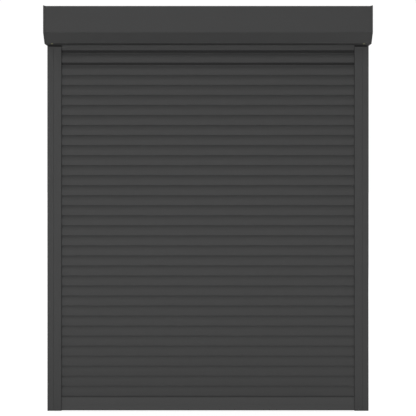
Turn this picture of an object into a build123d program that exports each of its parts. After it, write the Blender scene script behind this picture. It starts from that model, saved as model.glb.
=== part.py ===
from build123d import *
import math
import os

# Exterior roller shutter for a window: a box with a 45 degree front, two guide rails and a slatted curtain.
# X runs across the width, Y from the street side (-Y) to the wall (+Y), Z up from the sill. Millimetres.

os.makedirs("parts", exist_ok=True)

# Overall sizes
overall_width = 1200.0
overall_height = 1500.0
box_height = 137.0
box_depth = 137.0
box_chamfer = 38.0

# Box sheets and end caps
sheet = 1.2
rim_stand = 2.5
rim_width = 9.0
ledge_width = 14.0
cap_plate = 2.5
cap_wall = 2.0
sheet_fit = 0.1
seam = 0.3
flange_width = 20.0
hem_height = 7.0
slot_front_gap = 9.0

# Guide rails
rail_width = 53.0
rail_depth = 22.0
rail_wall = 1.6
channel_reach = 30.0
lip_width = 4.0
lip_depth = 3.6
lip_radius = 2.6
rib_height = 2.0
rib_width = 1.2
seal_base_width = 5.6
seal_base_depth = 1.8
pile_width = 4.0
pile_gap = 0.4
seal_fit = 0.1
groove_width = 0.9
groove_depth = 0.5

# Fixing holes in the rails
fixing_radius = 2.75
access_radius = 5.0
fixing_count = 4
fixing_pitch = 400.0
fixing_first = 80.0

# Curtain slats
slat_face = 37.08
joint_gap = 0.4
pocket_width = 4.6
face_flat_share = 0.46
shoulder_setback = 5.3
shoulder_land = 1.2
back_hollow = 0.8
skin = 0.5
edge_break = 0.7
lip_height = 0.8
slit_width = 1.8
neck_depth = 1.0
head_width = 3.0
head_height = 1.5
joint_play = 9.9
hook_fit = 0.1
pocket_room = 0.4
end_gap = 2.0
lock_plate = 1.6
lock_reach = 14.0
lock_fit = 0.2

# Joints at the top of the curtain that the hangers have pulled open
upper_joint_opening = 8.9
second_joint_opening = 8.9
hanger_opening = 9.4

# Bottom bar and its rubber seal
bar_height = 52.9
bar_foot = 2.0
bar_wall = 1.3
bar_slope = 6.1
seal_head_width = 5.0
seal_head_height = 1.5
seal_stem_width = 2.6
seal_foot_width = 7.6
seal_foot_break = 0.9
seal_clear = 0.2

# Octagonal shaft, its hanger straps and the bearing end
shaft_flats = 40.0
shaft_wall = 0.8
shaft_end_gap = 32.0
plug_fit = 0.2
strap_width = 22.0
strap_thickness = 0.8
strap_bend = 3.0
strap_lift = 0.3
strap_count = 4
strap_entry = 6.0
strap_drop = 8.0
strap_slot_width = 3.0
strap_slot_play = 3.0
clip_wall = 0.8
bearing_outer_radius = 14.0
bearing_bore_radius = 6.0
bearing_width = 8.0
race_wall = 2.3
ball_count = 9
running_gap = 0.03
boss_wall = 4.0
boss_floor = 1.0
capsule_length = 80.0
capsule_collar_radius = 23.0
capsule_collar = 4.0
capsule_rib = 5.0
pin_reach = 70.0
pin_break = 0.6

# Tubular motor
motor_radius = 17.5
motor_length = 400.0
motor_head_radius = 22.0
motor_head_length = 20.0
motor_head_break = 1.0
motor_button_radius = 2.5
motor_button_height = 1.5
bracket_plate = 3.0
bracket_size = 58.0
bracket_post_length = 3.0
bracket_post_radius = 4.0
bracket_post_inset = 8.0
bracket_seat_radius = 12.0
crown_length = 12.0
crown_setback = 2.0
wheel_length = 18.0
wheel_gap = 2.0
wheel_rim = 3.0
wheel_hub_radius = 9.0
stub_radius = 5.0
stub_length = 14.0
wheel_spoke = 3.0
spoke_count = 8

# Cable outlet in the motor side cap
outlet_radius = 5.0
outlet_from_back = 22.0
outlet_from_top = 24.0

# Screws and rivets
screw_head_radius = 4.8
screw_head_height = 2.4
screw_shank_radius = 1.9
screw_length = 9.0
screw_hole_radius = 2.2
screw_from_side = 26.0
screw_back_of_edge = 11.5
screw_recess_width = 1.0
screw_recess_depth = 1.2
tab_length = 25.0
tab_width = 14.0
tab_thickness = 3.0
rivet_head_radius = 3.2
rivet_head_height = 1.1
rivet_shank_radius = 1.6
rivet_shank_length = 3.6
rivet_hole_radius = 1.7
rivet_pitch = 36.0

# Inlet guides on top of the rails
guide_height = 20.0
guide_jaw_gap = 0.5
guide_web = 1.3
guide_flare = 3.4
guide_clear = 0.1

# Spigots of the caps inside the rails
spigot_length = 60.0
spigot_fit = 0.4
spigot_wall = 2.5

# How far a cut runs past what it cuts
overrun = 1.0

# Places worked out from the sizes
half_width = overall_width / 2
half_depth = box_depth / 2
box_bottom = overall_height - box_height
rail_front = half_depth - rail_depth
mouth_x = half_width - rail_width
web_x = mouth_x + channel_reach
neck_rise = joint_gap + joint_play + lip_height + hook_fit
pocket_ceiling = neck_rise + head_height - joint_gap + pocket_room
back_reach = pocket_width / 2 + skin
front_reach = neck_depth / 2 + shoulder_land + shoulder_setback
curtain_depth = front_reach + back_reach
curtain_middle = half_depth - rail_depth / 2
curtain_front = curtain_middle - curtain_depth / 2
curtain_back = curtain_middle + curtain_depth / 2
neck_plane = curtain_front + front_reach
curtain_end = web_x - end_gap
slat_end = curtain_end - lock_plate
ledge_inset = rim_stand + sheet + sheet_fit
ledge_end = half_width - rim_width - ledge_width
sheet_end = half_width - rim_width
inner_sheet_end = ledge_end - sheet_fit
slot_front = curtain_front - slot_front_gap
shaft_height = box_bottom + box_height / 2
slat_pitch = slat_face + joint_gap
bar_top = bar_foot + bar_height


def keep(piece, node):
    """Labels a finished piece and writes it under its node's name"""
    piece.part.label = node
    export_step(piece.part, f"parts/{node}.step")


def rectangle(x_low, x_high, y_low, y_high, mode=Mode.ADD):
    """A rectangle given by its sides"""
    with Locations(((x_low + x_high) / 2, (y_low + y_high) / 2)):
        Rectangle(x_high - x_low, y_high - y_low, mode=mode)


def box_corners(inset):
    """Corners of the box's section, drawn in by inset: top front, top back, low back, chamfer low and high"""
    along = inset * (math.sqrt(2) - 1)
    front = -half_depth + inset
    back = half_depth - inset
    top = overall_height - inset
    low = box_bottom + inset
    chamfer_low = (-half_depth + box_chamfer + along, low)
    chamfer_high = (front, box_bottom + box_chamfer + along)
    return [(front, top), (back, top), (back, low), chamfer_low, chamfer_high]


def filled(points, mode=Mode.ADD):
    """A face inside a closed line of straight runs, where its points say"""
    Polygon(*points, align=None, mode=mode)


def across_shaft(x):
    """The plane square to the shaft at x, centred on the shaft"""
    return Plane(origin=(x, 0, shaft_height), x_dir=(0, 1, 0), z_dir=(1, 0, 0))


def octagon(flats, mode=Mode.ADD):
    """An octagon with flat sides up, down, front and back"""
    RegularPolygon(flats / 2, 8, major_radius=False, rotation=22.5, mode=mode)


cover_screw_y = box_corners(rim_stand)[3][0] + screw_back_of_edge
rivet_x = sheet_end - ledge_width / 2
rivet_places = [-rivet_pitch, 0, rivet_pitch]


# End cap shell: a die-cast cup with a rim that stands proud of the sheets and a ledge inside them
def cap_shell():
    """The right cap without what it holds inside"""
    with BuildPart() as shell:
        with BuildSketch(Plane.YZ.offset(half_width)):
            filled(box_corners(0))
        with BuildSketch(Plane.YZ.offset(sheet_end)):
            filled(box_corners(rim_stand))
        loft()
        with BuildSketch(Plane.YZ.offset(sheet_end)):
            filled(box_corners(ledge_inset))
        extrude(amount=-ledge_width)
        with BuildSketch(Plane.YZ.offset(half_width - cap_plate)):
            filled(box_corners(ledge_inset + cap_wall))
        extrude(amount=-(rim_width + ledge_width + overrun), mode=Mode.SUBTRACT)
        # Foot that closes the top of the rail
        with BuildSketch(Plane.XY.offset(box_bottom)):
            rectangle(web_x, half_width, rail_front, half_depth)
        extrude(amount=rim_stand - sheet_fit)
        # Hollow spigot that goes down inside the rail's outer chamber
        chamber = spigot_fit + rail_wall
        with BuildSketch(Plane.XY.offset(box_bottom)):
            rectangle(
                web_x + chamber,
                half_width - chamber,
                rail_front + chamber,
                half_depth - chamber,
            )
            inner = chamber + spigot_wall
            rectangle(
                web_x + inner,
                half_width - inner,
                rail_front + inner,
                half_depth - inner,
                mode=Mode.SUBTRACT,
            )
        extrude(amount=-spigot_length)
        # Tab that takes the inspection cover's screw
        with BuildSketch(Plane.XY.offset(box_bottom + ledge_inset)):
            tab_middle = half_width - screw_from_side
            rectangle(
                tab_middle - tab_width / 2,
                sheet_end,
                box_corners(ledge_inset)[3][0],
                cover_screw_y + tab_length / 2,
            )
        extrude(amount=tab_thickness)
        with BuildSketch(Plane.XY.offset(box_bottom + ledge_inset - overrun)):
            with Locations((half_width - screw_from_side, cover_screw_y)):
                Circle(screw_shank_radius + hook_fit)
        extrude(amount=tab_thickness + overrun * 2, mode=Mode.SUBTRACT)
        # Rivet holes through the ledge, on top and at the back
        with BuildSketch(Plane.XY.offset(overall_height - ledge_inset + overrun)):
            with Locations(*[(rivet_x, y) for y in rivet_places]):
                Circle(rivet_hole_radius)
        extrude(amount=-(cap_wall + overrun * 2), mode=Mode.SUBTRACT)
        with BuildSketch(Plane.XZ.offset(-(half_depth - ledge_inset + overrun))):
            with Locations(*[(rivet_x, shaft_height + y) for y in rivet_places]):
                Circle(rivet_hole_radius)
        extrude(amount=cap_wall + overrun * 2, mode=Mode.SUBTRACT)
    return shell.part


# Motor side end cap, on the right seen from the street, with the cable outlet
with BuildPart() as end_cap_right:
    add(cap_shell())
    with BuildSketch(Plane.YZ.offset(half_width + overrun)):
        with Locations((half_depth - outlet_from_back, overall_height - outlet_from_top)):
            Circle(outlet_radius)
    extrude(amount=-(cap_plate + overrun * 2), mode=Mode.SUBTRACT)
keep(end_cap_right, "end_cap_right")

# Bearing side end cap, on the left, with a boss that holds the ball bearing
boss_start = half_width - cap_plate
with BuildPart() as end_cap_left:
    add(cap_shell().mirror(Plane.YZ))
    with BuildSketch(across_shaft(-boss_start)):
        Circle(bearing_outer_radius + boss_wall)
    extrude(amount=boss_floor + bearing_width)
    with BuildSketch(across_shaft(-boss_start + boss_floor)):
        Circle(bearing_outer_radius + running_gap)
    extrude(amount=bearing_width + overrun, mode=Mode.SUBTRACT)
keep(end_cap_left, "end_cap_left")

# Rear panel: the sheet against the wall, with a flange under the top sheet
outer_line = box_corners(rim_stand)
inner_line = box_corners(rim_stand + sheet)
with BuildPart() as rear_panel:
    with BuildSketch(Plane.YZ):
        rectangle(inner_line[1][0], outer_line[1][0], outer_line[2][1], inner_line[1][1])
    extrude(amount=sheet_end, both=True)
    with BuildSketch(Plane.YZ):
        rectangle(
            outer_line[1][0] - flange_width,
            outer_line[1][0],
            inner_line[1][1] - sheet,
            inner_line[1][1],
        )
    extrude(amount=inner_sheet_end, both=True)
    with BuildSketch(Plane.XZ.offset(-(half_depth + overrun))):
        for side in (-1, 1):
            with Locations(*[(side * rivet_x, shaft_height + y) for y in rivet_places]):
                Circle(rivet_hole_radius)
    extrude(amount=rim_stand + sheet + overrun * 2, mode=Mode.SUBTRACT)
keep(rear_panel, "rear_panel")

# Top and front panel: one folded sheet
with BuildPart() as top_front_panel:
    with BuildSketch(Plane.YZ):
        filled(
            [
                outer_line[1],
                outer_line[0],
                outer_line[4],
                (inner_line[4][0], outer_line[4][1]),
                inner_line[0],
                (outer_line[1][0], inner_line[1][1]),
            ]
        )
    extrude(amount=sheet_end, both=True)
    with BuildSketch(Plane.XY.offset(overall_height + overrun)):
        for side in (-1, 1):
            with Locations(*[(side * rivet_x, y) for y in rivet_places]):
                Circle(rivet_hole_radius)
    extrude(amount=-(rim_stand + sheet + overrun * 2), mode=Mode.SUBTRACT)
keep(top_front_panel, "top_front_panel")

# Inspection cover: the 45 degree sheet and the underside, tucked behind the front sheet
cover_top = outer_line[4][1] - seam
chamfer_sum = outer_line[3][0] + outer_line[3][1]
chamfer_inner_sum = inner_line[3][0] + inner_line[3][1]
with BuildPart() as inspection_cover:
    with BuildSketch(Plane.YZ):
        filled(
            [
                (chamfer_sum - cover_top, cover_top),
                outer_line[3],
                (slot_front, outer_line[3][1]),
                (slot_front, inner_line[3][1]),
                inner_line[3],
                (chamfer_inner_sum - cover_top, cover_top),
            ]
        )
    extrude(amount=sheet_end, both=True)
    with BuildSketch(Plane.YZ):
        tuck = inner_line[4][0] + sheet_fit
        rectangle(tuck, tuck + sheet, cover_top - sheet * 2, cover_top + hem_height)
        rectangle(slot_front - sheet, slot_front, inner_line[3][1], inner_line[3][1] + hem_height)
    extrude(amount=inner_sheet_end, both=True)
    with BuildSketch(Plane.XY.offset(box_bottom)):
        for side in (-1, 1):
            with Locations((side * (half_width - screw_from_side), cover_screw_y)):
                Circle(screw_hole_radius)
    extrude(amount=ledge_inset + overrun, mode=Mode.SUBTRACT)
keep(inspection_cover, "inspection_cover")

# Inspection cover screws: flanged pan heads with a cross recess, from below into the caps' tabs
with BuildPart() as cover_screws:
    head_top = box_bottom + rim_stand
    for side in (-1, 1):
        place = (side * (half_width - screw_from_side), cover_screw_y)
        with BuildSketch(Plane.XY.offset(head_top)):
            with Locations(place):
                Circle(screw_head_radius)
        extrude(amount=-screw_head_height)
        with BuildSketch(Plane.XY.offset(head_top)):
            with Locations(place):
                Circle(screw_shank_radius)
        extrude(amount=screw_length)
        with BuildSketch(Plane.XY.offset(head_top - screw_head_height)):
            with Locations(place):
                Rectangle(screw_head_radius, screw_recess_width)
                Rectangle(screw_recess_width, screw_head_radius)
        extrude(amount=screw_recess_depth, mode=Mode.SUBTRACT)
keep(cover_screws, "cover_screws")

# Blind rivets that hold the top and rear sheets on the caps' ledges
with BuildPart() as panel_rivets:
    for side in (-1, 1):
        for place in rivet_places:
            with BuildSketch(Plane.XY.offset(overall_height - rim_stand)):
                with Locations((side * rivet_x, place)):
                    Circle(rivet_head_radius)
            extrude(amount=rivet_head_height)
            with BuildSketch(Plane.XY.offset(overall_height - rim_stand)):
                with Locations((side * rivet_x, place)):
                    Circle(rivet_shank_radius)
            extrude(amount=-rivet_shank_length)
            with BuildSketch(Plane.XZ.offset(-(half_depth - rim_stand))):
                with Locations((side * rivet_x, shaft_height + place)):
                    Circle(rivet_head_radius)
            extrude(amount=-rivet_head_height)
            with BuildSketch(Plane.XZ.offset(-(half_depth - rim_stand))):
                with Locations((side * rivet_x, shaft_height + place)):
                    Circle(rivet_shank_radius)
            extrude(amount=rivet_shank_length)
keep(panel_rivets, "panel_rivets")

# Guide rail: an extrusion with an outer fixing chamber and an inner channel for the curtain
with BuildPart() as guide_rail_right:
    with BuildSketch():
        rectangle(mouth_x, half_width, rail_front, half_depth)
        fillet(vertices().group_by(Axis.X)[0], lip_radius)
        rectangle(
            web_x + rail_wall,
            half_width - rail_wall,
            rail_front + rail_wall,
            half_depth - rail_wall,
            mode=Mode.SUBTRACT,
        )
        rectangle(
            mouth_x + lip_width,
            web_x,
            rail_front + rail_wall,
            half_depth - rail_wall,
            mode=Mode.SUBTRACT,
        )
        rectangle(
            mouth_x - overrun,
            mouth_x + lip_width + overrun,
            rail_front + lip_depth,
            half_depth - lip_depth,
            mode=Mode.SUBTRACT,
        )
        rib_x = mouth_x + lip_width + seal_base_width + seal_fit * 2
        rectangle(rib_x, rib_x + rib_width, rail_front, rail_front + rail_wall + rib_height)
        rectangle(rib_x, rib_x + rib_width, half_depth - rail_wall - rib_height, half_depth)
        filled(
            [
                (web_x - groove_width / 2, rail_front),
                (web_x + groove_width / 2, rail_front),
                (web_x, rail_front + groove_depth),
            ],
            mode=Mode.SUBTRACT,
        )
    extrude(amount=box_bottom)
    # Fixing holes in the outer wall, with access holes through the web
    with BuildSketch(Plane.YZ.offset(half_width + overrun)):
        for number in range(fixing_count):
            with Locations((curtain_middle, fixing_first + number * fixing_pitch)):
                Circle(fixing_radius)
    extrude(amount=-(rail_wall + overrun * 2), mode=Mode.SUBTRACT)
    with BuildSketch(Plane.YZ.offset(web_x - overrun)):
        for number in range(fixing_count):
            with Locations((curtain_middle, fixing_first + number * fixing_pitch)):
                Circle(access_radius)
    extrude(amount=rail_wall + overrun * 2, mode=Mode.SUBTRACT)
keep(guide_rail_right, "guide_rail_right")

with BuildPart() as guide_rail_left:
    add(guide_rail_right.part.mirror(Plane.YZ))
keep(guide_rail_left, "guide_rail_left")

# Rail seals: four strips that sit behind the rails' lips and face the curtain from both sides
with BuildPart() as rail_seals:
    base_x = mouth_x + lip_width + seal_fit
    pile_x = base_x + (seal_base_width - pile_width) / 2
    front_base = rail_front + rail_wall + seal_fit
    back_base = half_depth - rail_wall - seal_fit
    for side in (-1, 1):
        with BuildSketch():
            for base, tip in (
                (front_base, curtain_front - pile_gap),
                (back_base, curtain_back + pile_gap),
            ):
                step = math.copysign(seal_base_depth, tip - base)
                low, high = sorted((base, base + step))
                pile_low, pile_high = sorted((base, tip))
                left, right = sorted((side * base_x, side * (base_x + seal_base_width)))
                rectangle(left, right, low, high)
                left, right = sorted((side * pile_x, side * (pile_x + pile_width)))
                rectangle(left, right, pile_low, pile_high)
        extrude(amount=box_bottom)
keep(rail_seals, "rail_seals")

# Inlet guides: plastic jaws on top of the rails that lead the curtain into the channels
with BuildPart() as inlet_guides:
    jaw_front = rail_front + guide_clear
    jaw_back = inner_line[1][0] - guide_clear
    gap_front = curtain_front - guide_jaw_gap
    gap_back = curtain_back + guide_jaw_gap
    guide_end = min(ledge_end, web_x) - guide_clear
    for side in (-1, 1):
        left, right = sorted((side * (mouth_x + lip_width), side * guide_end))
        with BuildSketch(Plane.XY.offset(box_bottom)):
            rectangle(left, right, jaw_front, jaw_back)
            open_left, open_right = sorted(
                (side * (mouth_x + lip_width - overrun), side * (guide_end - guide_web))
            )
            rectangle(open_left, open_right, gap_front, gap_back, mode=Mode.SUBTRACT)
        extrude(amount=guide_height)
        # The front jaw leans back at its top, where the curtain comes off the shaft
        with BuildSketch(Plane.YZ.offset(left - overrun)):
            filled(
                [
                    (gap_front, box_bottom + guide_height / 2),
                    (gap_front, box_bottom + guide_height + overrun),
                    (gap_front - guide_flare, box_bottom + guide_height + overrun),
                    (gap_front - guide_flare, box_bottom + guide_height),
                ]
            )
        extrude(amount=right - left + overrun * 2, mode=Mode.SUBTRACT)
keep(inlet_guides, "inlet_guides")


# Curtain: the outline of a slat and how many of them fill the height
face_curve_start = slat_face * face_flat_share
face_curve_height = slat_face - face_curve_start
face_radius = (face_curve_height**2 + shoulder_setback**2) / (2 * shoulder_setback)


def face_line(height):
    """Y of a slat's front, from the neck's middle: flat at the bottom, then curving back to the shoulder"""
    above = max(height - face_curve_start, 0)
    return -front_reach + face_radius - math.sqrt(face_radius**2 - above**2)


def back_line(height):
    """Y of a slat's back, from the neck's middle: hollow between the pocket and the shoulder"""
    share = (height - pocket_ceiling) / (slat_face - pocket_ceiling)
    return back_reach - 4 * back_hollow * share * (1 - share)


def at_neck(points, bottom):
    """Places of points drawn from the neck's middle and a lower edge"""
    return [(neck_plane + y, bottom + z) for y, z in points]


def hook_points(shoulder):
    """The neck and the head that stand on a shoulder, from front to back"""
    head_low = shoulder + neck_rise
    head_top = head_low + head_height
    return [
        (-neck_depth / 2, shoulder),
        (-neck_depth / 2, head_low),
        (-head_width / 2, head_low),
        (-head_width / 2, head_top),
        (head_width / 2, head_top),
        (head_width / 2, head_low),
        (neck_depth / 2, head_low),
        (neck_depth / 2, shoulder),
    ]


def pocket_points():
    """The pocket at a lower edge that a head moves up and down in, from back to front"""
    inside = pocket_width / 2
    return [
        (slit_width / 2, 0),
        (slit_width / 2, lip_height),
        (inside, lip_height),
        (inside, pocket_ceiling),
        (-inside, pocket_ceiling),
        (-inside, lip_height),
        (-slit_width / 2, lip_height),
        (-slit_width / 2, 0),
    ]


def slat_section(bottom):
    """A slat's section: bowed front, hollow back, neck and head above, pocket below, closed chamber inside"""
    front_low = (-front_reach, edge_break)
    front_bend = (-front_reach, face_curve_start)
    front_high = (face_line(slat_face - edge_break), slat_face - edge_break)
    back_high = (back_reach, slat_face - edge_break)
    back_low = (back_reach, edge_break)
    upper = at_neck(
        [
            front_high,
            (front_high[0] + edge_break, slat_face),
            *hook_points(slat_face),
            (back_high[0] - edge_break, slat_face),
            back_high,
        ],
        bottom,
    )
    lower = at_neck(
        [
            (back_reach, pocket_ceiling),
            back_low,
            (back_low[0] - edge_break, 0),
            *pocket_points(),
            (-front_reach + edge_break, 0),
            front_low,
            front_bend,
        ],
        bottom,
    )
    bend_middle = (face_curve_start + front_high[1]) / 2
    back_middle = (pocket_ceiling + slat_face) / 2
    front_arc = at_neck([front_bend, (face_line(bend_middle), bend_middle), front_high], bottom)
    back_arc = at_neck([back_high, (back_line(back_middle), back_middle), (back_reach, pocket_ceiling)], bottom)
    low = pocket_ceiling + skin
    high = slat_face - skin
    bend_side = [(face_line(z) + skin, z) for z in (face_curve_start, bend_middle, high)]
    back_side = [(back_line(z) - skin, z) for z in (high, (low + high) / 2, low)]
    chamber_corners = [
        back_side[-1],
        (-back_reach, low),
        (-back_reach, edge_break),
        (-front_reach + skin, edge_break),
        bend_side[0],
    ]
    with BuildSketch() as section:
        with BuildLine():
            ThreePointArc(*front_arc)
            Polyline(*upper)
            ThreePointArc(*back_arc)
            Polyline(*lower)
        make_face()
        with BuildLine():
            ThreePointArc(*at_neck(bend_side, bottom))
            Line(*at_neck([bend_side[-1], back_side[0]], bottom))
            ThreePointArc(*at_neck(back_side, bottom))
            Polyline(*at_neck(chamber_corners, bottom))
        make_face(mode=Mode.SUBTRACT)
    return section.sketch


def add_end_locks(plate_points, plug_points):
    """Plastic plugs in both ends of a hollow profile, each with a plate that runs in the rail"""
    for side in (-1, 1):
        start = side * (slat_end + hook_fit)
        with BuildSketch(Plane.YZ.offset(start)) as plate:
            filled(plate_points)
        extrude(plate.sketch, amount=side * (lock_plate - hook_fit))
        with BuildSketch(Plane.YZ.offset(start)) as plug:
            filled(plug_points)
        extrude(plug.sketch, amount=-side * lock_reach)


def lock_points(inset, low, high):
    """An end lock's outline in a slat, drawn in by inset behind the slat's bowed front"""
    return [
        (back_reach - back_hollow - inset, low),
        (back_reach - back_hollow - inset, high),
        (face_line(high) + inset, high),
        (-front_reach + inset, face_curve_start),
        (-front_reach + inset, low),
    ]


# Places of the slats, from the bottom bar up, with the joints at the top pulled open
first_slat = bar_top + joint_gap
hanging_height = box_bottom - first_slat - upper_joint_opening - second_joint_opening
slat_count = int(hanging_height / slat_pitch) + 1
slat_bottoms = []
for number in range(slat_count):
    opening = 0
    if number >= slat_count - 2:
        opening += second_joint_opening
    if number >= slat_count - 1:
        opening += upper_joint_opening
    slat_bottoms.append(first_slat + number * slat_pitch + opening)

# Slats, numbered from the bottom bar up
plate_points = lock_points(edge_break, edge_break, slat_face - edge_break)
plug_points = lock_points(skin + lock_fit, pocket_ceiling + skin * 2, slat_face - skin * 2)
for number, bottom in enumerate(slat_bottoms, start=1):
    with BuildPart() as slat:
        with BuildSketch(Plane.YZ):
            add(slat_section(bottom))
        extrude(amount=slat_end, both=True)
        add_end_locks(at_neck(plate_points, bottom), at_neck(plug_points, bottom))
    keep(slat, f"slat_{number:02d}")

# Bottom bar: a hollow extrusion with a sloped shoulder, the same neck and head on top and a slit below
def bar_corners(inset, floor, slope_inset):
    """The bar's outline, drawn in by inset, from a floor height, with its shoulder drawn in by slope_inset"""
    return [
        (curtain_back - inset, floor),
        (curtain_back - inset, bar_top - inset),
        (curtain_front + bar_slope + slope_inset, bar_top - inset),
        (curtain_front + inset, bar_top - bar_slope - slope_inset),
        (curtain_front + inset, floor),
    ]


with BuildPart() as bottom_bar:
    with BuildSketch(Plane.YZ):
        filled(bar_corners(0, bar_foot, 0))
        filled(at_neck(hook_points(bar_height), bar_foot))
        shoulder_inset = bar_wall * math.tan(math.radians(22.5))
        filled(bar_corners(bar_wall, bar_foot + bar_wall, shoulder_inset), mode=Mode.SUBTRACT)
        stem_side = seal_stem_width / 2 + seal_clear
        rectangle(
            curtain_middle - stem_side,
            curtain_middle + stem_side,
            bar_foot - overrun,
            bar_foot + bar_wall + overrun,
            mode=Mode.SUBTRACT,
        )
    extrude(amount=slat_end, both=True)
    plug_inset = bar_wall + lock_fit
    plug_floor = bar_foot + bar_wall + seal_head_height + seal_clear * 2
    add_end_locks(
        bar_corners(edge_break, bar_foot + edge_break, edge_break),
        bar_corners(plug_inset, plug_floor, shoulder_inset + lock_fit),
    )
keep(bottom_bar, "bottom_bar")

# Rubber seal under the bottom bar: a head inside the bar, a stem through the slit and a foot on the sill
with BuildPart() as bottom_seal:
    foot_top = bar_foot - seal_clear / 2
    head_low = bar_foot + bar_wall + seal_clear / 2
    foot_side = seal_foot_width / 2
    with BuildSketch(Plane.YZ):
        filled(
            [
                (curtain_middle - foot_side + seal_foot_break, 0),
                (curtain_middle + foot_side - seal_foot_break, 0),
                (curtain_middle + foot_side, seal_foot_break),
                (curtain_middle + foot_side, foot_top),
                (curtain_middle - foot_side, foot_top),
                (curtain_middle - foot_side, seal_foot_break),
            ]
        )
        stem = seal_stem_width / 2
        rectangle(curtain_middle - stem, curtain_middle + stem, 0, head_low + seal_head_height)
        head = seal_head_width / 2
        rectangle(curtain_middle - head, curtain_middle + head, head_low, head_low + seal_head_height)
    extrude(amount=slat_end, both=True)
keep(bottom_seal, "bottom_seal")

# Octagonal steel shaft that the curtain winds on
shaft_end = half_width - shaft_end_gap
strap_half_step = shaft_end / strap_count
strap_places = [strap_half_step * (number * 2 - strap_count + 1) for number in range(strap_count)]
flat_top = shaft_height + shaft_flats / 2
with BuildPart() as octagonal_shaft:
    with BuildSketch(across_shaft(0)):
        octagon(shaft_flats)
        octagon(shaft_flats - shaft_wall * 2, mode=Mode.SUBTRACT)
    extrude(amount=shaft_end, both=True)
    with BuildSketch(Plane.XY.offset(flat_top + overrun)):
        with Locations(*[(x, -strap_entry) for x in strap_places]):
            Rectangle(strap_width + strap_slot_play, strap_slot_width)
    extrude(amount=-(shaft_wall + overrun * 2), mode=Mode.SUBTRACT)
keep(octagonal_shaft, "octagonal_shaft")

# Hanger straps: spring steel strips from slots in the shaft to clips on the top slat's head
strap_out = shaft_flats / 2 + strap_lift + strap_thickness / 2
strap_top = shaft_height + strap_out
facet_half = strap_out * math.tan(math.radians(22.5))
top_shoulder = slat_bottoms[-1] + slat_face
clip_bottom = top_shoulder + joint_gap + hanger_opening
clip_top = clip_bottom + pocket_ceiling + clip_wall
with BuildPart() as hanger_straps:
    for x in strap_places:
        with BuildSketch(Plane.YZ.offset(x)):
            with BuildLine():
                FilletPolyline(
                    (-strap_entry, flat_top - shaft_wall),
                    (-strap_entry, strap_top),
                    (facet_half, strap_top),
                    (strap_out, shaft_height + facet_half),
                    (neck_plane, clip_top + strap_drop),
                    (neck_plane, clip_top - clip_wall / 2),
                    radius=[strap_thickness, strap_bend, strap_bend, strap_bend],
                )
            trace(line_width=strap_thickness)
            clip_side = pocket_width / 2 + clip_wall
            filled(
                at_neck(
                    [
                        (-clip_side, 0),
                        (-clip_side, pocket_ceiling + clip_wall),
                        (clip_side, pocket_ceiling + clip_wall),
                        (clip_side, 0),
                        *pocket_points(),
                    ],
                    clip_bottom,
                )
            )
        extrude(amount=strap_width / 2, both=True)
keep(hanger_straps, "hanger_straps")

# Ball bearing in the left cap's boss
bearing_start = -boss_start + boss_floor
with BuildPart() as bearing_outer_ring:
    with BuildSketch(across_shaft(bearing_start)):
        Circle(bearing_outer_radius)
        Circle(bearing_outer_radius - race_wall, mode=Mode.SUBTRACT)
    extrude(amount=bearing_width)
keep(bearing_outer_ring, "bearing_outer_ring")

with BuildPart() as bearing_inner_ring:
    with BuildSketch(across_shaft(bearing_start)):
        Circle(bearing_bore_radius + race_wall)
        Circle(bearing_bore_radius, mode=Mode.SUBTRACT)
    extrude(amount=bearing_width)
keep(bearing_inner_ring, "bearing_inner_ring")

ball_space = bearing_outer_radius - bearing_bore_radius - race_wall * 2
ball_radius = ball_space / 2 - running_gap
ball_circle = bearing_bore_radius + race_wall + ball_space / 2
with BuildPart() as bearing_balls:
    with Locations(across_shaft(bearing_start + bearing_width / 2)):
        with PolarLocations(ball_circle, ball_count):
            Sphere(ball_radius)
keep(bearing_balls, "bearing_balls")

# Idler capsule: a ribbed plastic plug in the shaft's left end, with a collar outside it
plug_flats = shaft_flats - shaft_wall * 2 - plug_fit * 2
with BuildPart() as idler_capsule:
    with BuildSketch(across_shaft(-shaft_end)):
        octagon(plug_flats)
        Circle(plug_flats / 2 - capsule_rib, mode=Mode.SUBTRACT)
        Circle(bearing_bore_radius + capsule_rib)
        with PolarLocations(plug_flats / 4, 4):
            Rectangle(plug_flats / 2, capsule_rib / 2)
        Circle(bearing_bore_radius + running_gap, mode=Mode.SUBTRACT)
    extrude(amount=capsule_length)
    with BuildSketch(across_shaft(-shaft_end)):
        Circle(capsule_collar_radius)
        Circle(bearing_bore_radius + running_gap, mode=Mode.SUBTRACT)
    extrude(amount=-capsule_collar)
keep(idler_capsule, "idler_capsule")

with BuildPart() as idler_pin:
    with BuildSketch(across_shaft(bearing_start)):
        Circle(bearing_bore_radius - running_gap)
    extrude(amount=-bearing_start - shaft_end + pin_reach)
    chamfer(edges().filter_by(GeomType.CIRCLE), pin_break)
keep(idler_pin, "idler_pin")

# Motor bracket on the right cap: a plate on four posts with a round seat
bracket_face = boss_start - bracket_post_length
head_end = bracket_face - bracket_plate
with BuildPart() as motor_bracket:
    with BuildSketch(across_shaft(bracket_face)):
        RectangleRounded(bracket_size, bracket_size, bracket_post_inset)
        Circle(bracket_seat_radius, mode=Mode.SUBTRACT)
    extrude(amount=-bracket_plate)
    with BuildSketch(across_shaft(boss_start)):
        spread = bracket_size - bracket_post_inset * 2
        with GridLocations(spread, spread, 2, 2):
            Circle(bracket_post_radius)
    extrude(amount=-bracket_post_length)
keep(motor_bracket, "motor_bracket")

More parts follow.
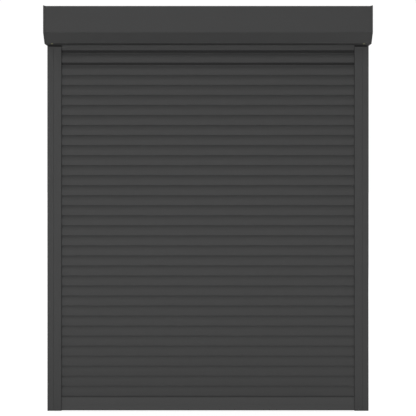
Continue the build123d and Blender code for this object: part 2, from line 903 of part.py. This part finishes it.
# Motor head: it stays still, holds in the bracket by its star and carries two setting buttons
head_start = head_end - motor_head_length
star_side = (bracket_seat_radius - plug_fit) * math.sqrt(2)
with BuildPart() as motor_head:
    with BuildSketch(across_shaft(head_start)):
        Circle(motor_head_radius)
    extrude(amount=motor_head_length)
    chamfer(edges().filter_by(GeomType.CIRCLE).group_by(Axis.X)[0], motor_head_break)
    with BuildSketch(across_shaft(head_end)):
        Rectangle(star_side, star_side)
        Rectangle(star_side, star_side, rotation=45)
    extrude(amount=bracket_plate)
    with BuildSketch(Plane.XY.offset(shaft_height - motor_head_radius + motor_button_height)):
        with Locations((head_start + motor_head_length / 2, 0)):
            with GridLocations(motor_button_radius * 3, 0, 2, 1):
                Circle(motor_button_radius)
    extrude(amount=-motor_button_height * 2)
keep(motor_head, "motor_head")

# Motor tube: motor, brake and gearbox in one sealed tube inside the shaft
motor_end = head_start - motor_length
with BuildPart() as motor_tube:
    with BuildSketch(across_shaft(head_start)):
        Circle(motor_radius)
    extrude(amount=-motor_length)
    with BuildSketch(across_shaft(motor_end - overrun)):
        Circle(stub_radius + running_gap)
    extrude(amount=overrun + stub_length + overrun, mode=Mode.SUBTRACT)
keep(motor_tube, "motor_tube")

# Drive wheel: a spoked wheel on the motor's output stub, a close fit in the shaft
wheel_end = motor_end - wheel_gap
with BuildPart() as drive_wheel:
    with BuildSketch(across_shaft(wheel_end)):
        octagon(plug_flats)
        Circle(plug_flats / 2 - wheel_rim, mode=Mode.SUBTRACT)
        Circle(wheel_hub_radius)
        with PolarLocations(plug_flats / 4, spoke_count):
            Rectangle(plug_flats / 2 - wheel_rim / 2, wheel_spoke)
    extrude(amount=-wheel_length)
    with BuildSketch(across_shaft(wheel_end)):
        Circle(stub_radius)
    extrude(amount=wheel_gap + stub_length)
keep(drive_wheel, "drive_wheel")

# Crown ring: it turns with the shaft on the motor's head end and drives the limit switch
with BuildPart() as crown_ring:
    with BuildSketch(across_shaft(shaft_end - crown_setback)):
        octagon(plug_flats)
        Circle(motor_radius + running_gap, mode=Mode.SUBTRACT)
    extrude(amount=-crown_length)
keep(crown_ring, "crown_ring")

print("slats", slat_count, "slat pitch", slat_pitch, "clear opening", box_bottom)
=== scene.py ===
import random
from math import pi, tau

import bmesh
import bpy
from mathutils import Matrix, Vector


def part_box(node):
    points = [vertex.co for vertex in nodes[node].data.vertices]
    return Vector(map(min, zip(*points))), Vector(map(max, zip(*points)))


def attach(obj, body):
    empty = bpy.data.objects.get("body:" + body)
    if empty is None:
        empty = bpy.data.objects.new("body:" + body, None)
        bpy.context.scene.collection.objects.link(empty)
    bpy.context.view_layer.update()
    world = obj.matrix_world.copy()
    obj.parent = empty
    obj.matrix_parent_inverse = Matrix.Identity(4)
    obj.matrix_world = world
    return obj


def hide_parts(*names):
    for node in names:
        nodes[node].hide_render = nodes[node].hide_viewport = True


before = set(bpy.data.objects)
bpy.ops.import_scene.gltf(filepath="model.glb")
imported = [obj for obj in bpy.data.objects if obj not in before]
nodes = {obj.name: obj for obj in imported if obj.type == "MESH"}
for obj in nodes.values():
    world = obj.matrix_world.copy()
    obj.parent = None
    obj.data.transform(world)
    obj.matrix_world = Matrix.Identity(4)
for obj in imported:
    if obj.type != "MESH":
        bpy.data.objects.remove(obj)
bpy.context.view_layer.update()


# Guide rails: two aluminium extrusions, screwed to the window reveal, that hold the curtain's edges.
# They come out of the die with faint lines along their length, and the fine matt powder coat nearly
# hides these. The coat is baked on, with a grain of about half a millimetre.
class Signal:
    """One output among a finish's nodes; sums on it add the Math nodes that work them out"""

    def __init__(self, tree, socket=None):
        self.tree = tree
        self.socket = socket

    def make(self, kind, settings=None, inputs=None, output=0):
        """Adds any other node: its settings first, then the values or links of its sockets"""
        node = self.tree.nodes.new(kind)
        for key, value in (settings or {}).items():
            setattr(node, key, value)
        for key, value in (inputs or {}).items():
            if isinstance(value, Signal):
                self.tree.links.new(value.socket, node.inputs[key])
            else:
                node.inputs[key].default_value = value
        return Signal(self.tree, node.outputs[output] if node.outputs else None)

    def sum(self, operation, first, second):
        return self.make("ShaderNodeMath", {"operation": operation}, {0: first, 1: second})

    def __add__(self, other):
        return self.sum("ADD", self, other)

    __radd__ = __add__

    def __sub__(self, other):
        return self.sum("SUBTRACT", self, other)

    def __rsub__(self, other):
        return self.sum("SUBTRACT", other, self)

    def __mul__(self, other):
        return self.sum("MULTIPLY", self, other)

    __rmul__ = __mul__

    def __gt__(self, other):
        return self.sum("GREATER_THAN", self, other)

    def __abs__(self):
        return self.sum("ABSOLUTE", self, 0.0)


def new_finish(name):
    """An empty finish, and the place on the shutter, in metres, that its patterns read"""
    finish = bpy.data.materials.new(name)
    finish.use_nodes = True
    finish.node_tree.nodes.clear()
    start = Signal(finish.node_tree)
    return finish, start, start.make("ShaderNodeTexCoord", output=3)


def noise(place, scale, detail=2.0, stretch=(1.0, 1.0, 1.0)):
    """A soft random pattern from 0 to 1; scale is how many grains fit in a metre"""
    stretched = place.make("ShaderNodeMapping", {}, {"Vector": place, "Scale": stretch})
    inputs = {"Vector": stretched, "Scale": scale, "Detail": detail}
    return place.make("ShaderNodeTexNoise", {}, inputs)


def blended(mask, low, high):
    """A colour that runs from low to high as the mask runs from 0 to 1"""
    low, high = ((*c, 1.0) if isinstance(c, tuple) else c for c in (low, high))
    return mask.make("ShaderNodeMix", {"data_type": "RGBA"}, {0: mask, 6: low, 7: high}, output=2)


def shade(colour, share):
    """The same colour, lighter or darker"""
    return tuple(part * share for part in colour)


def covered(start, colour, roughness, height, depth, **constant):
    """Ends a finish: its colour, its roughness, and a relief of that depth in metres"""
    bump = {"Height": height, "Distance": depth, "Strength": 1.0}
    relief = start.make("ShaderNodeBump", {}, bump)
    inputs = {"Base Color": colour, "Roughness": roughness, "Normal": relief}
    inputs.update({key.replace("_", " "): value for key, value in constant.items()})
    shader = start.make("ShaderNodeBsdfPrincipled", {}, inputs)
    start.make("ShaderNodeOutputMaterial", {}, {"Surface": shader})


def powder_coat(name, colour, roughness, drawn):
    """Matt powder coat; drawn stretches the faint lines along the profile under it"""
    finish, start, place = new_finish(name)
    grain = noise(place, 1500.0, 3.0)
    lines = noise(place, 1.0, 2.0, drawn)
    cloud = noise(place, 4.0, 2.0)
    tone = grain * 0.35 + lines * 0.25 + cloud * 0.4
    covered(
        start,
        blended(tone, shade(colour, 0.9), shade(colour, 1.1)),
        grain * 0.1 + cloud * 0.06 + (roughness - 0.08),
        grain + lines * 0.5,
        0.00002,
        Specular_IOR_Level=matt_gloss,
    )
    return finish


def finished(finish, *names):
    """Gives CAD pieces their finish"""
    for name in names:
        for slot in nodes[name].material_slots:
            slot.material = finish


anthracite = (0.0456, 0.0459, 0.0459)
matt_gloss = 0.3
upright = (700.0, 700.0, 2.0)
rail_coat = powder_coat("rail_coat", shade(anthracite, 1.06), 0.62, upright)
finished(rail_coat, "guide_rail_left", "guide_rail_right")


# Rail brushes: pile weather strips in the rails' mouths, in front of the curtain and behind it, which
# keep the slats from rattling. A woven backing slides into a seat in the rail, and dense black
# polypropylene pile stands on it in tufts.
def piece(name, mesh, finish, body):
    """Makes a finished shape a piece that rides on a body"""
    bmesh.ops.recalc_face_normals(mesh, faces=mesh.faces)
    data = bpy.data.meshes.new(name)
    mesh.to_mesh(data)
    mesh.free()
    made = bpy.data.objects.new(name, data)
    bpy.context.scene.collection.objects.link(made)
    data.materials.append(finish)
    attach(made, body)
    return made


def block(mesh, low, high):
    """A rectangular block between two corners"""
    size = [top - bottom for bottom, top in zip(low, high)]
    middle = [(top + bottom) / 2 for bottom, top in zip(low, high)]
    made = bmesh.ops.create_cube(mesh, size=1.0)["verts"]
    bmesh.ops.scale(mesh, vec=size, verts=made)
    bmesh.ops.translate(mesh, vec=middle, verts=made)
    return made


seals_low, seals_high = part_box("rail_seals")
backing_width = 0.0056
backing_depth = 0.0018
pile_width = 0.0040
tuft_pitch = 0.0045
tuft_wander = 0.0003
tuft_step = 0.0006
tuft_lean = 0.0004
front_tip = 0.0522
back_tip = 0.0628
end_play = 0.0005
random.seed(7)
brush_finish, start, place = new_finish("pile")
fibre = noise(place, 1.0, 2.0, (2600.0, 60.0, 2600.0))
covered(
    start,
    blended(fibre, (0.006, 0.006, 0.0062), (0.034, 0.034, 0.035)),
    fibre * 0.2 + 0.75,
    fibre,
    0.0002,
    Specular_IOR_Level=0.2,
)
brushes = bmesh.new()
rail_low, rail_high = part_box("guide_rail_right")
for side in (-1, 1):
    for base, tip in ((seals_low.y, front_tip), (seals_high.y, back_tip)):
        toward = 1 if tip > base else -1
        outer = side * seals_high.x
        inner = side * (seals_high.x - backing_width)
        x_low, x_high = sorted((outer, inner))
        y_low, y_high = sorted((base, base + toward * backing_depth))
        block(brushes, (x_low, y_low, rail_low.z), (x_high, y_high, rail_high.z))
        margin = (backing_width - pile_width) / 2
        y_low, y_high = sorted((base + toward * backing_depth * 0.8, tip))
        pile = block(
            brushes,
            (x_low + margin, y_low, rail_low.z + end_play),
            (x_high - margin, y_high, rail_high.z - end_play),
        )
        long_edges = {
            edge
            for vert in pile
            for edge in vert.link_edges
            if abs(edge.verts[0].co.z - edge.verts[1].co.z) > 0.1
        }
        tufts = int((rail_high.z - rail_low.z) / tuft_pitch) * 2
        split = bmesh.ops.subdivide_edges(brushes, edges=list(long_edges), cuts=tufts - 1)
        cuts = [part for part in split["geom_inner"] if isinstance(part, bmesh.types.BMVert)]
        for vert in cuts:
            if abs(vert.co.y - tip) < 0.0001:
                between = round((vert.co.z - rail_low.z) / tuft_pitch * 2) % 2
                lean = -1 if vert.co.x > (x_low + x_high) / 2 else 1
                vert.co.y -= toward * (between * tuft_step + random.uniform(0, tuft_wander))
                vert.co.x += lean * tuft_lean * (1 + between)
rail_brushes = piece("rail_brushes", brushes, brush_finish, "frame")
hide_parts("rail_seals")


# End caps: die-cast aluminium cups that close the box at both ends, stand in the rails on hollow
# spigots and carry the shaft. They are powder coated like the rails, and the casting is a little
# less smooth than an extrusion.
cap_coat = powder_coat("cap_coat", anthracite, 0.64, (60.0, 60.0, 60.0))
finished(cap_coat, "end_cap_left", "end_cap_right")


# Joint tapes: black foam strips across each rail's front, right under the box, where the rail meets
# the
# end cap. They are painted shade: a dark piece that stands in for the shade in that joint.
painted_shade_foam, start, place = new_finish("foam")
cells = noise(place, 1400.0, 2.0)
covered(
    start,
    blended(cells, (0.008, 0.008, 0.0082), (0.018, 0.018, 0.0182)),
    cells * 0.1 + 0.8,
    cells,
    0.0001,
    Specular_IOR_Level=0.2,
)
below_joint = 0.0035
above_joint = 0.0022
inner_edge = 0.0004
outer_edge = 0.0008
tape_low = rail_high.z - below_joint
tape_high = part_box("inspection_cover")[0].z + above_joint
tape_thickness = 0.0003
tapes = bmesh.new()
for side in (-1, 1):
    x_low, x_high = sorted((side * (rail_low.x + inner_edge), side * (rail_high.x - outer_edge)))
    block(
        tapes,
        (x_low, rail_low.y - tape_thickness, tape_low),
        (x_high, rail_low.y, tape_high),
    )
bmesh.ops.bevel(
    tapes,
    geom=tapes.edges[:],
    offset=0.0001,
    affect="EDGES",
    segments=2,
    profile=0.5,
    material=-1,
)
piece("painted_shade_tapes", tapes, painted_shade_foam, "frame")


# Cable grommet: a black rubber ring pressed into the motor side cap, where the motor's cable comes
# out. Its thin web stays closed until the cable is pushed through.
def ring(mesh, profile, centre, axis, steps):
    """A turned shape: profile gives places along the axis and radii, as a closed loop"""
    across = Vector((0, 0, 1)) if abs(axis.z) < 0.5 else Vector((0, 1, 0))
    corners = [mesh.verts.new(centre + axis * along + across * radius) for along, radius in profile]
    edges = [mesh.edges.new((corners[i - 1], corners[i])) for i in range(len(corners))]
    bmesh.ops.spin(
        mesh,
        geom=corners + edges,
        cent=centre,
        axis=axis,
        angle=tau,
        steps=steps,
        use_merge=True,
    )


outlet_from_back = 0.022
outlet_from_top = 0.024
cap_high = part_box("end_cap_right")[1]
outlet = Vector((cap_high.x, cap_high.y - outlet_from_back, cap_high.z - outlet_from_top))
rubber_finish, start, place = new_finish("rubber")
bloom = noise(place, 90.0, 3.0)
skin = noise(place, 2500.0, 2.0)
covered(
    start,
    blended(bloom, (0.011, 0.011, 0.0115), (0.022, 0.022, 0.0225)),
    bloom * 0.15 + 0.62,
    skin,
    0.00003,
    Specular_IOR_Level=0.35,
)
grommet = bmesh.new()
ring(
    grommet,
    [
        (-0.0002, 0.0036), (-0.0002, 0.0047), (-0.0004, 0.0049), (-0.0026, 0.0049),
        (-0.0026, 0.0070), (-0.0030, 0.0074), (-0.0038, 0.0074), (-0.0043, 0.0068),
        (-0.0043, 0.0036), (-0.0024, 0.0034), (-0.0020, 0.0006), (-0.0015, 0.0006),
        (-0.0012, 0.0034),
    ],
    outlet,
    Vector((1, 0, 0)),
    40,
)
piece("cable_grommet", grommet, rubber_finish, "frame")


# Box sheets: one folded aluminium sheet over the top and front, one at the back, and the inspection
# cover with the 45 degree slope and the underside. The coil is coated flat and folded afterwards, so
# the coat is smoother than on the castings, with the rolling direction along the box.
lengthwise = (2.0, 700.0, 700.0)
sheet_coat = powder_coat("sheet_coat", anthracite, 0.6, lengthwise)
finished(sheet_coat, "rear_panel", "top_front_panel", "inspection_cover")


# Blind rivets: dome heads in the box's colour that hold the top and rear sheets on the caps' ledges.
# The pulled mandrel leaves a small pit in the middle of each head.
rivet_coat = powder_coat("rivet_coat", anthracite, 0.55, (80.0, 80.0, 80.0))
rivets = bmesh.new()
rivets_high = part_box("panel_rivets")[1]
head_height = 0.0011
rivet_radius = 0.0032
rivet_row = rivets_high.x - rivet_radius
seat_top = rivets_high.z - head_height
seat_back = rivets_high.y - head_height
shaft_low, shaft_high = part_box("octagonal_shaft")
shaft_height = (shaft_low.z + shaft_high.z) / 2
rivet_step = 0.036
dome = [
    (0.00045, 0.0), (0.00045, 0.0007), (0.00100, 0.0009), (0.00110, 0.0012), (0.00102, 0.0019),
    (0.00072, 0.0026), (0.00030, 0.0031), (0.0, 0.0032), (0.0, 0.0016), (-0.0036, 0.0016),
    (-0.0036, 0.0),
]
for side in (-1, 1):
    for step in (-rivet_step, 0.0, rivet_step):
        above = Vector((side * rivet_row, step, seat_top))
        ring(rivets, dome, above, Vector((0, 0, 1)), 24)
        behind = Vector((side * rivet_row, seat_back, shaft_height + step))
        ring(rivets, dome, behind, Vector((0, 1, 0)), 24)
bmesh.ops.remove_doubles(rivets, verts=rivets.verts, dist=0.000001)
rivet_heads = piece("rivet_heads", rivets, rivet_coat, "frame")
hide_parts("panel_rivets")


# Inspection cover screws: yellow passivated steel pan heads, one at each end of the box's underside,
# turned into the caps' tabs from below. The passivation shimmers from straw to olive.
screw_finish, start, place = new_finish("yellow_zinc")
shimmer = noise(place, 420.0, 3.0)
turned = noise(place, 3000.0, 2.0)
covered(
    start,
    blended(shimmer, (0.21, 0.21, 0.13), (0.36, 0.36, 0.23)),
    turned * 0.15 + 0.3,
    turned,
    0.00001,
    Metallic=1.0,
)
finished(screw_finish, "cover_screws")


# Inlet guides: black moulded plastic jaws on top of the rails, which lead the curtain in. The mould's
# fine spark texture shows on them.
def moulded(name, low, high, roughness):
    """Moulded plastic with the mould's fine spark texture"""
    finish, start, place = new_finish(name)
    spark = noise(place, 1900.0, 3.0)
    flow = noise(place, 35.0, 2.0)
    colour = blended(flow * 0.6 + spark * 0.4, low, high)
    covered(start, colour, spark * 0.12 + roughness, spark, 0.00004)
    return finish


guide_finish = moulded("guide_plastic", (0.012, 0.012, 0.0125), (0.026, 0.026, 0.027), 0.5)
finished(guide_finish, "inlet_guides")


# Octagonal shaft and motor bracket: hot-dip galvanised steel sheet. The zinc freezes in large flat
# crystals that each mirror the light a little differently.
def galvanised(name, low, high):
    """Zinc crystals of about a centimetre"""
    finish, start, place = new_finish(name)
    crystal = place.make(
        "ShaderNodeTexVoronoi", {"feature": "F1"}, {"Vector": place, "Scale": 110.0}, output=1
    )
    tone = crystal.make("ShaderNodeSeparateColor", {}, {0: crystal})
    frost = noise(place, 900.0, 3.0)
    covered(
        start,
        blended(tone * 0.8 + frost * 0.2, low, high),
        tone * 0.16 + frost * 0.1 + 0.3,
        frost + tone,
        0.00001,
        Metallic=1.0,
    )
    return finish


zinc_finish = galvanised("galvanised_sheet", (0.36, 0.37, 0.39), (0.58, 0.59, 0.61))
finished(zinc_finish, "octagonal_shaft", "motor_bracket")


# Hanger straps: blued spring steel strips between slots in the shaft and the top slat, four of them.
# They are rolled, so fine lines run along the strip.
strap_finish, start, place = new_finish("spring_strip")
rolled = noise(place, 1.0, 3.0, (2200.0, 30.0, 30.0))
heat = noise(place, 30.0, 2.0)
covered(
    start,
    blended(heat * 0.5 + rolled * 0.5, (0.16, 0.17, 0.19), (0.32, 0.33, 0.36)),
    rolled * 0.18 + 0.28,
    rolled,
    0.00001,
    Metallic=1.0,
)
finished(strap_finish, "hanger_straps")


# Ball bearing, idler capsule and idler pin: the shaft's left end turns on a ground steel bearing in
# the cap's boss. The pin is bright drawn steel and the capsule ribbed glass-filled plastic.
ground_finish, start, place = new_finish("ground_steel")
polish = noise(place, 1.0, 3.0, (400.0, 2600.0, 2600.0))
covered(
    start,
    blended(polish, (0.56, 0.56, 0.57), (0.68, 0.68, 0.69)),
    polish * 0.14 + 0.12,
    polish,
    0.000004,
    Metallic=1.0,
)
finished(ground_finish, "bearing_outer_ring", "bearing_inner_ring", "bearing_balls", "idler_pin")
gear_finish = moulded("glass_filled_plastic", (0.036, 0.036, 0.037), (0.066, 0.066, 0.068), 0.46)
finished(gear_finish, "idler_capsule", "drive_wheel", "crown_ring")


# Tubular motor: motor, brake and gearbox in a painted steel tube inside the shaft. Its head stays
# still in the bracket and holds the setting buttons.
tube_finish, start, place = new_finish("motor_paint")
orange_peel = noise(place, 260.0, 3.0)
cloud = noise(place, 12.0, 2.0)
covered(
    start,
    blended(cloud * 0.7 + orange_peel * 0.3, (0.50, 0.51, 0.52), (0.60, 0.61, 0.62)),
    orange_peel * 0.1 + 0.32,
    orange_peel,
    0.00003,
)
finished(tube_finish, "motor_tube")
head_finish = moulded("motor_head_plastic", (0.030, 0.030, 0.032), (0.052, 0.052, 0.054), 0.48)
finished(head_finish, "motor_head")


# Curtain slats: hollow aluminium profiles with a bowed front, hooked one in another. Their coat has
# the box's colour, with painted light on the shoulder that lifts the joint's shadow line, and painted
# shade in black on the strip that a hook slides on. A black plastic lock closes each end and runs in
# the rail.
def coated_slat(name, colour, roughness, lock_start, strip):
    """The slats' coat, with painted light on the shoulder, black locks and painted shade in black on
    the strip
    """
    finish, start, place = new_finish(name)
    grain = noise(place, 1600.0, 3.0)
    lines = noise(place, 1.0, 2.0, (1.5, 500.0, 500.0))
    cloud = noise(place, 5.0, 2.0)
    tone = grain * 0.3 + lines * 0.3 + cloud * 0.4
    across = place.make("ShaderNodeSeparateXYZ", {}, {0: place})
    inward = place.make("ShaderNodeSeparateXYZ", {}, {0: place}, output=1)
    lock = abs(across) > lock_start
    # Painted shade: the hook strip is painted black, so the opened joints show dark as shade.
    painted_shade_strip = (inward > strip[0]) * (1 - (inward > strip[1])) * (1 - lock)
    # Painted light: the shoulder just in front of the hook strip is painted up to 1.7 times lighter,
    # lifting the joints' shadow lines.
    shoulder = inward.make(
        "ShaderNodeMapRange",
        {"interpolation_type": "SMOOTHSTEP"},
        {"Value": inward, "From Min": strip[0] - painted_light_reach, "From Max": strip[0] - painted_light_full},
    )
    painted_light = shoulder * (1 - (inward > strip[0]))
    coat = blended(tone, shade(colour, 0.92), shade(colour, 1.08))
    coat = blended(painted_light, coat, shade(colour, painted_light_share))
    covered(
        start,
        blended(painted_shade_strip, blended(lock, coat, (0.018, 0.018, 0.019)), (0.006, 0.006, 0.0062)),
        grain * 0.08 + cloud * 0.06 + lock * 0.08 + (roughness - 0.07),
        grain + lines * 0.5,
        0.000015,
        Specular_IOR_Level=matt_gloss,
    )
    return finish


painted_light_reach = 0.0026
painted_light_full = 0.0010
painted_light_share = 1.7
lock_plate = 0.00155
slat_low, slat_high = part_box("slat_01")
lock_start = slat_high.x - lock_plate
hook_strip = (slat_low.y + 0.0060, slat_low.y + 0.0080)
slat_coat = coated_slat("slat_coat", shade(anthracite, 1.02), 0.6, lock_start, hook_strip)
finished(slat_coat, *[name for name in nodes if name.startswith("slat_")])


# Bottom bar: a taller hollow extrusion that weighs the curtain down, coated like the rails, with a
# rubber seal in the slit under it that rests on the sill. Its coat colour is set lighter as painted
# light, which makes up for the weaker light near the floor. It also carries the slats' painted light
# and painted shade.
bar_coat_painted_light = coated_slat("bar_coat_painted_light", shade(anthracite, 1.29), 0.6, lock_start, hook_strip)
finished(bar_coat_painted_light, "bottom_bar")
finished(rubber_finish, "bottom_seal")


# Studio: a pale matt floor in a white room, which gives light from every side. A long low softbox
# stands in front of the shutter, a little to its left, a weak one above it and one behind it.
floor_shape = bmesh.new()
bmesh.ops.create_grid(floor_shape, x_segments=2, y_segments=2, size=30.0)
bmesh.ops.translate(floor_shape, vec=(0, 0, -0.0003), verts=floor_shape.verts)
floor_data = bpy.data.meshes.new("floor")
floor_shape.to_mesh(floor_data)
floor_shape.free()
floor = bpy.data.objects.new("floor", floor_data)
bpy.context.scene.collection.objects.link(floor)
floor_finish, start, place = new_finish("pale_floor")
wear = noise(place, 2.0, 3.0)
seen = start.make("ShaderNodeLightPath")
covered(
    start,
    blended(wear, (0.84, 0.84, 0.84), (0.88, 0.88, 0.88)),
    wear * 0.1 + 0.55,
    wear,
    0.00005,
    Emission_Color=blended(seen, (0.14, 0.14, 0.14), (1.0, 1.0, 1.0)),
    Emission_Strength=0.8,
)
floor_data.materials.append(floor_finish)

room = bpy.data.worlds.new("studio")
bpy.context.scene.world = room
room.use_nodes = True
room.node_tree.nodes.clear()
air = Signal(room.node_tree)
direction = air.make("ShaderNodeTexCoord", output=0)
depth = direction.make("ShaderNodeSeparateXYZ", {}, {0: direction}, output=1)
lit = depth.make(
    "ShaderNodeMapRange",
    {"interpolation_type": "SMOOTHSTEP"},
    {"Value": depth, "From Min": -0.1, "From Max": 0.5, "To Min": 0.32, "To Max": 0.51},
)
seen = air.make("ShaderNodeLightPath")
glow = air.make(
    "ShaderNodeBackground",
    {},
    {"Color": (1.0, 1.0, 1.0, 1.0), "Strength": lit + seen * (1.02 - lit)},
)
air.make("ShaderNodeOutputWorld", {}, {"Surface": glow})


def softbox(name, place, target, width, height, watts):
    """A rectangular light that faces its target"""
    lamp = bpy.data.lights.new(name, "AREA")
    lamp.shape = "RECTANGLE"
    lamp.size = width
    lamp.size_y = height
    lamp.energy = watts
    made = bpy.data.objects.new(name, lamp)
    bpy.context.scene.collection.objects.link(made)
    made.location = place
    made.rotation_euler = (Vector(target) - Vector(place)).to_track_quat("-Z", "Y").to_euler()
    made.visible_camera = False


softbox("low_softbox", (-0.6, -5.0, 0.5), (0.0, 0.0, 0.9), 5.0, 0.8, 106.0)
softbox("upper_softbox", (-0.8, -4.6, 4.6), (0.0, 0.0, 0.9), 2.4, 2.4, 15.0)
softbox("rear_softbox", (3.4, 4.4, 2.2), (0.0, 0.0, 0.9), 2.4, 2.0, 110.0)

lens = bpy.data.cameras.new("camera")
lens.sensor_width = 36.0
lens.lens = 102.79
lens.shift_y = -0.1152
camera = bpy.data.objects.new("camera", lens)
bpy.context.scene.collection.objects.link(camera)
camera.location = (0.0, -4.3895, 0.9365)
camera.rotation_euler = (pi / 2, 0.0, 0.0)
bpy.context.scene.camera = camera
bpy.context.scene.view_settings.view_transform = "Standard"
bpy.context.scene.view_settings.look = "None"
bpy.context.scene.view_settings.exposure = 0.0
